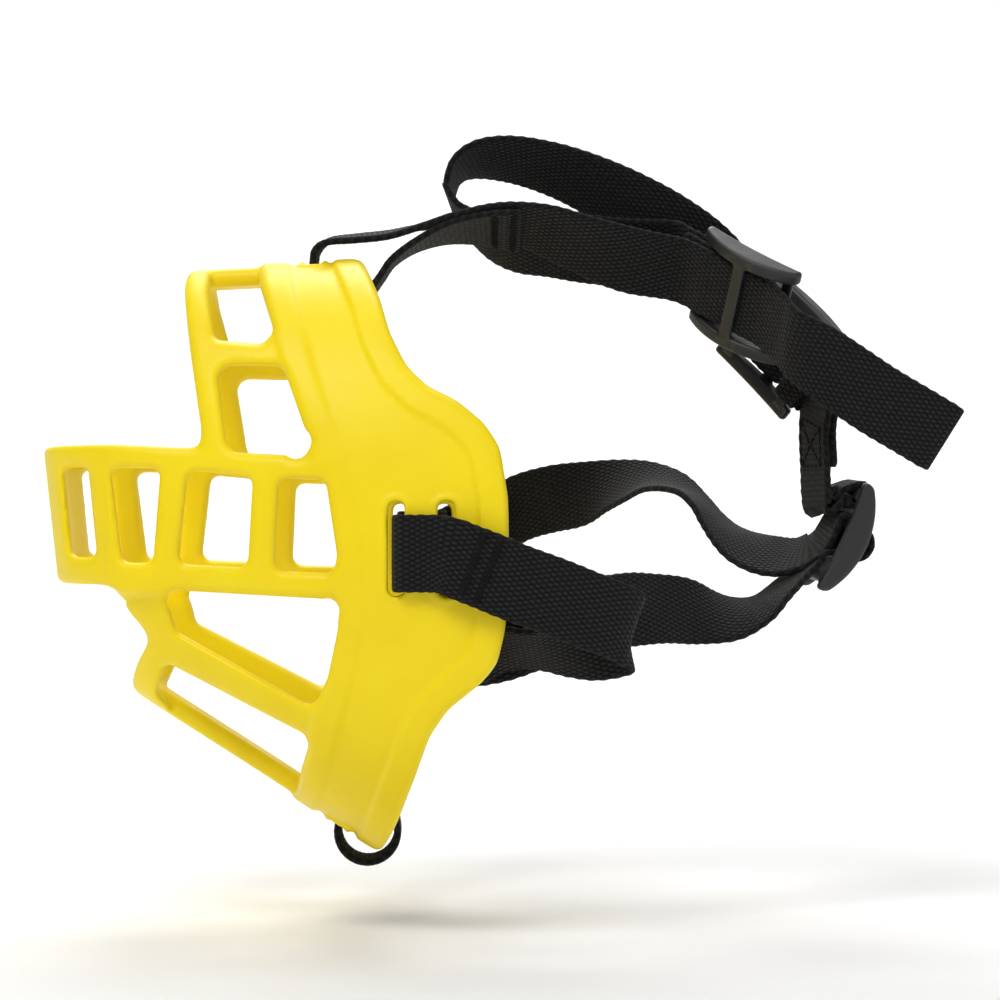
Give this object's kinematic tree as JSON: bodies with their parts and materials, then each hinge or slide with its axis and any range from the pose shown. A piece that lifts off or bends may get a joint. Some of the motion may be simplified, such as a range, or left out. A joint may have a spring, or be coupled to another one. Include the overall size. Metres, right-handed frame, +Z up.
{
  "type": "basket muzzle",
  "caption": "Open soft rubber basket muzzle for a dog, held on by a webbing harness with sliding adjusters and a small loop under the chin.",
  "frame": {"origin": "middle of the opening that the snout goes in by, in the basket's mid-plane", "axes": "+Z up, nose towards -X, left cheek towards -Y"},
  "size_m": [0.1872, 0.0988, 0.1532],
  "materials": {
    "basket_rubber": "satin",
    "webbing": "woven, matte",
    "slider_plastic": "moulded, fine grain",
    "thread": "matte"
  },
  "bodies": {
    "root": {"basket": "basket_rubber", "overhead_strap": "webbing", "overhead_stitching": "thread", "loop_strap": "webbing", "loop_stitching": "thread", "loop_slider": "slider_plastic", "connector_strap": "webbing", "connector_stitching": "thread", "neck_slider": "slider_plastic", "neck_strap": "webbing", "left_cheek_stitching": "thread", "right_cheek_stitching": "thread"},
    "overhead_slider": {"overhead_slider": "slider_plastic", "loop_strap_end": "webbing", "loop_end_stitching": "thread"},
    "tail": {"overhead_strap_tail": "webbing"},
    "chin_loop": {"chin_loop": "webbing", "chin_loop_stitching": "thread"}
  },
  "joints": [
    {"name": "slider_slide", "type": "slide", "parent": "root", "child": "overhead_slider", "axis": [0.732, -0.5014, -0.4613], "range_m": [0, 0.006]},
    {"name": "tail_bend", "type": "hinge", "parent": "root", "child": "tail", "pos_m": [0.09625, -0.02045, 0.03502], "axis": [-0.4817, 0.3777, -0.7907], "range_deg": [-25, 25], "stiffness_Nm_per_rad": 0.0004},
    {"name": "chin_loop_turn", "type": "hinge", "parent": "root", "child": "chin_loop", "pos_m": [-0.0012, 0, -0.0575], "axis": [0, 1, 0], "range_deg": [-30, 30]}
  ]
}
